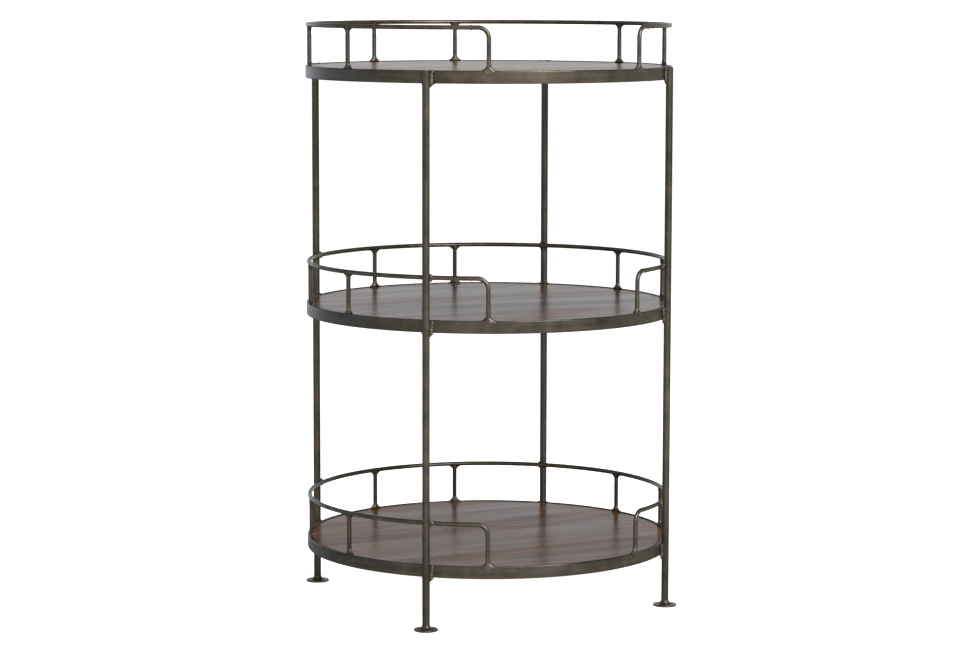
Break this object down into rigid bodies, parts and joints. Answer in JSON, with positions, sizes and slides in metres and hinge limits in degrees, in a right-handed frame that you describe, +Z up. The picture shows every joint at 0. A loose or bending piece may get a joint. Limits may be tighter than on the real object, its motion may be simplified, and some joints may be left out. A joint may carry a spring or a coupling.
{
  "type": "tiered tray table",
  "caption": "Round tiered side table: iron legs and hoops hold wooden shelves, each with a low rod gallery that opens at the front.",
  "frame": {"origin": "on the floor under the table's centre", "axes": "+Z up, -Y towards the front, where the galleries open, +X to the right seen from the front"},
  "size_m": [0.5, 0.5, 0.7914],
  "materials": {
    "iron": "dark olive-brown iron under a clear satin lacquer",
    "weld": "rippled weld metal under the same satin lacquer",
    "wood": "dark red-brown boards with a satin varnish",
    "screw": "zinc-plated"
  },
  "bodies": {
    "root": {"foot_back_left": "iron", "foot_back_right": "iron", "foot_front_left": "iron", "foot_front_right": "iron", "foot_welds": "weld", "hoop_lower": "iron", "hoop_middle": "iron", "hoop_upper": "iron", "leg_back_left": "iron", "leg_back_right": "iron", "leg_front_left": "iron", "leg_front_right": "iron", "leg_welds_lower": "weld", "leg_welds_middle": "weld", "leg_welds_upper": "weld", "post_lower_back_left": "iron", "post_lower_back_right": "iron", "post_lower_side_back_left": "iron", "post_lower_side_back_right": "iron", "post_lower_side_front_left": "iron", "post_lower_side_front_right": "iron", "post_middle_back_left": "iron", "post_middle_back_right": "iron", "post_middle_side_back_left": "iron", "post_middle_side_back_right": "iron", "post_middle_side_front_left": "iron", "post_middle_side_front_right": "iron", "post_upper_back_left": "iron", "post_upper_back_right": "iron", "post_upper_side_back_left": "iron", "post_upper_side_back_right": "iron", "post_upper_side_front_left": "iron", "post_upper_side_front_right": "iron", "post_welds_lower": "weld", "post_welds_middle": "weld", "post_welds_upper": "weld", "rail_end_lower_left": "iron", "rail_end_lower_right": "iron", "rail_end_middle_left": "iron", "rail_end_middle_right": "iron", "rail_end_upper_left": "iron", "rail_end_upper_right": "iron", "rail_lower": "iron", "rail_middle": "iron", "rail_seam_welds_lower": "weld", "rail_seam_welds_middle": "weld", "rail_seam_welds_upper": "weld", "rail_upper": "iron", "shelf_lower": "wood", "shelf_lugs_lower": "iron", "shelf_lugs_middle": "iron", "shelf_lugs_upper": "iron", "shelf_middle": "wood", "shelf_screws_lower": "screw", "shelf_screws_middle": "screw", "shelf_screws_upper": "screw", "shelf_upper": "wood"}
  },
  "joints": []
}
